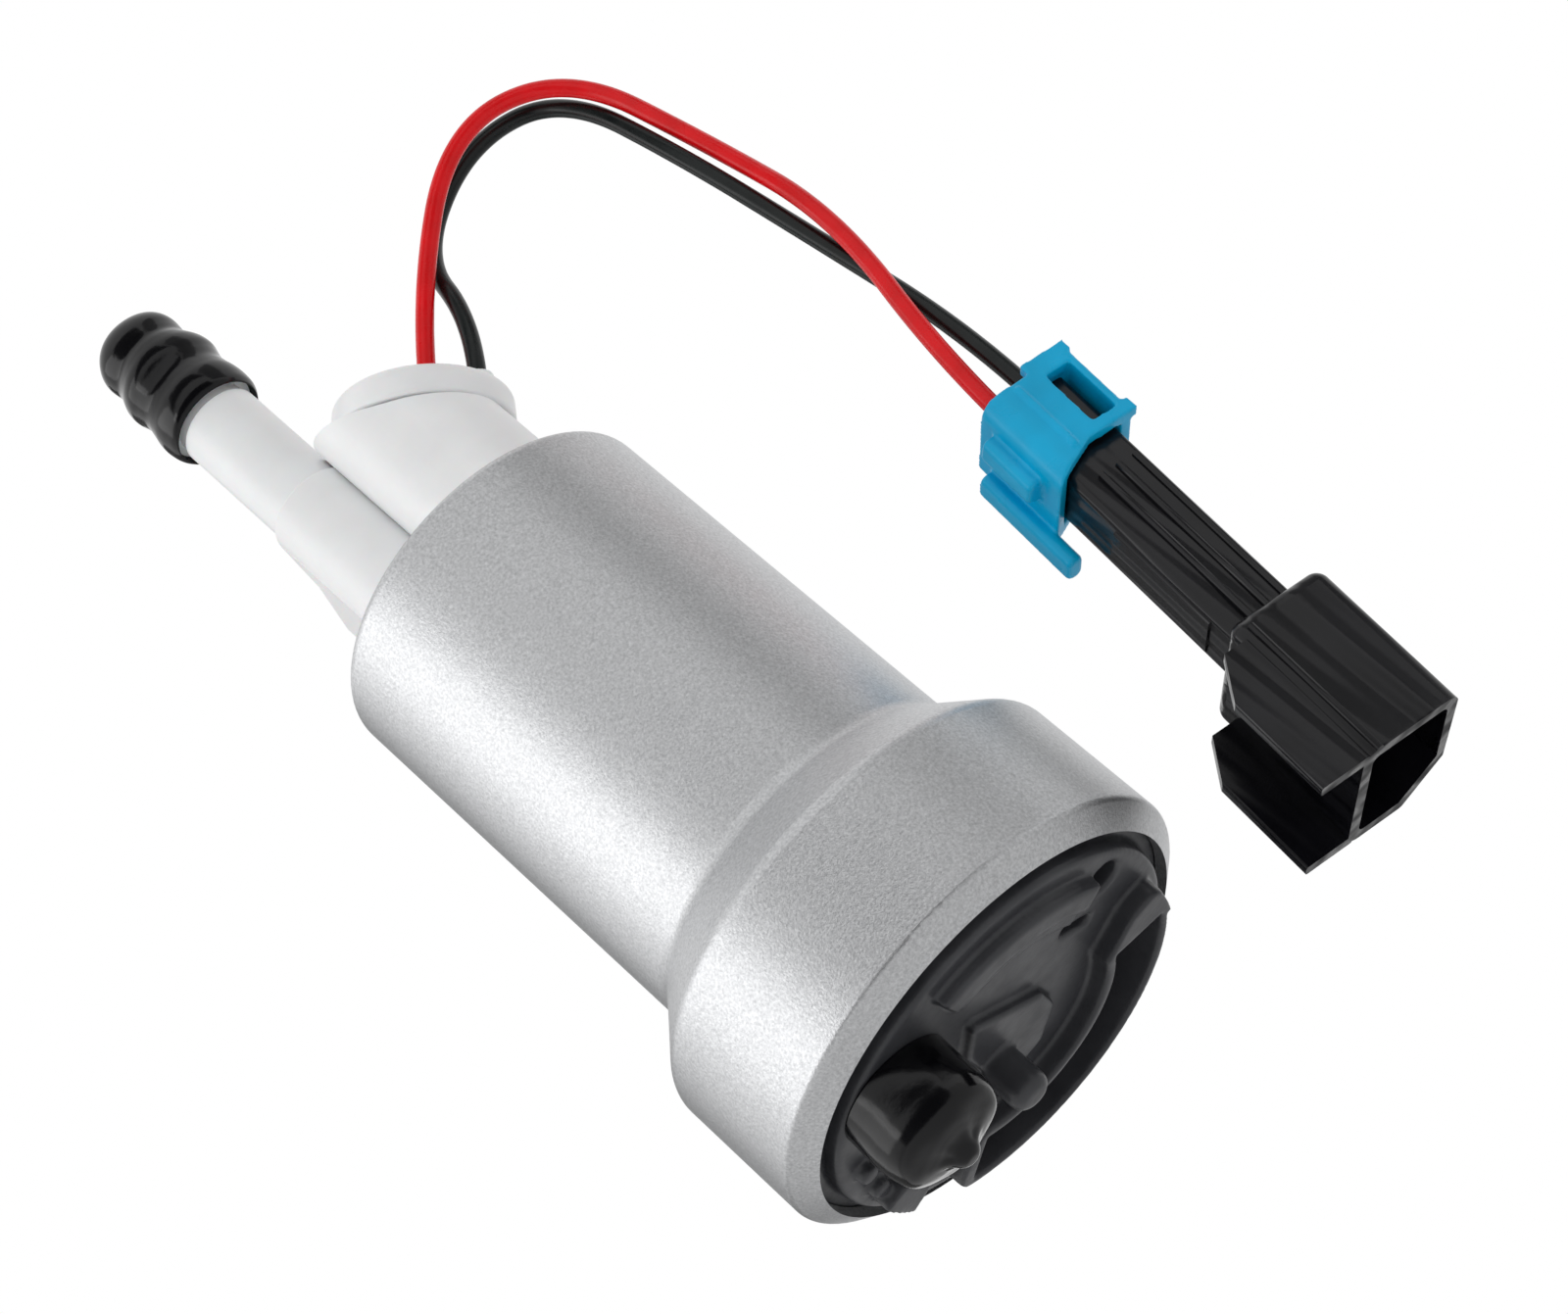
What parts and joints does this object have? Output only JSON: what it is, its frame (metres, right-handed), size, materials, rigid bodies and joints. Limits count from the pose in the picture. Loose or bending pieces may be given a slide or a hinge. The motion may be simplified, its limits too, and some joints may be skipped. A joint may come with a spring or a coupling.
{
  "type": "in-tank fuel pump",
  "caption": "In-tank electric fuel pump: plated can, moulded outlet cap with barbed tube, two-wire lead to a connector, and dust caps.",
  "frame": {"origin": "on the axis of the can, at the middle of the clamping band, 48 mm above the crimped lip", "axes": "+Z along the can towards the outlet tube, +X towards the side the lead hangs on, -Y towards the viewer of the picture"},
  "size_m": [0.0796, 0.05, 0.1424],
  "materials": {
    "plated_steel": "fine satin zinc plating",
    "cover_plastic": "satin moulded",
    "sintered_bronze": "matt sintered",
    "steel": "ground",
    "seal_rubber": "matt",
    "impeller_plastic": "machined",
    "core_steel": "laminated, dull",
    "copper_wire": "enamelled",
    "copper": "turned",
    "magnet_ferrite": "matt sintered",
    "carbon": "matt",
    "spring_steel": "bright wire",
    "white_plastic": "satin moulded",
    "choke_ferrite": "matt",
    "tinned_brass": "tinned",
    "plug_plastic": "satin moulded",
    "connector_plastic": "satin moulded",
    "lock_plastic": "semi-gloss moulded",
    "black_vinyl": "glossy dipped",
    "red_insulation": "glossy",
    "black_insulation": "glossy"
  },
  "bodies": {
    "pump": {"can_shell": "plated_steel", "inlet_cover": "cover_plastic", "pump_plate": "cover_plastic", "lower_bush": "sintered_bronze", "thrust_disc": "steel", "seal_ring": "seal_rubber", "flux_ring": "core_steel", "magnet_north": "magnet_ferrite", "magnet_south": "magnet_ferrite", "magnet_clip_front": "steel", "magnet_clip_back": "steel", "outlet_cap": "white_plastic", "check_valve_stop": "white_plastic", "relief_valve_stop": "sintered_bronze", "upper_bush": "sintered_bronze", "choke_front": "choke_ferrite", "choke_back": "choke_ferrite", "terminal_inner": "tinned_brass", "terminal_outer": "tinned_brass"},
    "rotor": {"shaft": "steel", "armature_core": "core_steel", "windings": "copper_wire", "commutator": "copper", "impeller": "impeller_plastic"},
    "check_valve": {"check_valve": "impeller_plastic", "check_valve_spring": "spring_steel"},
    "relief_valve": {"relief_valve": "sintered_bronze", "relief_valve_spring": "spring_steel"},
    "brush_front": {"brush_front": "carbon", "brush_spring_front": "spring_steel"},
    "brush_back": {"brush_back": "carbon", "brush_spring_back": "spring_steel"},
    "outlet_dust_cap": {"outlet_dust_cap": "black_vinyl"},
    "inlet_dust_cap": {"inlet_dust_cap": "black_vinyl"},
    "lead": {"lead_plug": "plug_plastic", "plug_contact_inner": "tinned_brass", "plug_contact_outer": "tinned_brass", "wire_red": "red_insulation", "wire_black": "black_insulation", "connector_housing": "connector_plastic", "connector_blade_red": "tinned_brass", "connector_blade_black": "tinned_brass"},
    "connector_lock": {"connector_lock": "lock_plastic"}
  },
  "joints": [
    {"name": "rotor_spin", "type": "hinge", "parent": "pump", "child": "rotor", "pos_m": [0, 0, 0], "axis": [0, 0, 1], "continuous": true},
    {"name": "check_valve_lift", "type": "slide", "parent": "pump", "child": "check_valve", "axis": [0, 0, 1], "range_m": [0, 0.0026], "stiffness_N_per_m": 60, "springref_m": -0.002, "deforming": ["check_valve_spring"]},
    {"name": "relief_valve_lift", "type": "slide", "parent": "pump", "child": "relief_valve", "axis": [0, 0, 1], "range_m": [0, 0.0015], "stiffness_N_per_m": 150, "springref_m": -0.002, "deforming": ["relief_valve_spring"]},
    {"name": "brush_front_slide", "type": "slide", "parent": "pump", "child": "brush_front", "axis": [0, 0, 1], "range_m": [0, 0.0025], "stiffness_N_per_m": 150, "springref_m": -0.004, "deforming": ["brush_spring_front"]},
    {"name": "brush_back_slide", "type": "slide", "parent": "pump", "child": "brush_back", "axis": [0, 0, 1], "range_m": [0, 0.0025], "stiffness_N_per_m": 150, "springref_m": -0.004, "deforming": ["brush_spring_back"]},
    {"name": "outlet_cap_pull", "type": "slide", "parent": "pump", "child": "outlet_dust_cap", "axis": [0, 0, 1], "range_m": [0, 0.022]},
    {"name": "inlet_cap_pull", "type": "slide", "parent": "pump", "child": "inlet_dust_cap", "axis": [0, 0, -1], "range_m": [0, 0.022]},
    {"name": "plug_pull", "type": "slide", "parent": "pump", "child": "lead", "axis": [0.6157, 0, 0.788], "range_m": [0, 0.01]},
    {"name": "lock_slide", "type": "slide", "parent": "lead", "child": "connector_lock", "axis": [0.0958, 0, 0.9954], "range_m": [0, 0.0034]}
  ]
}
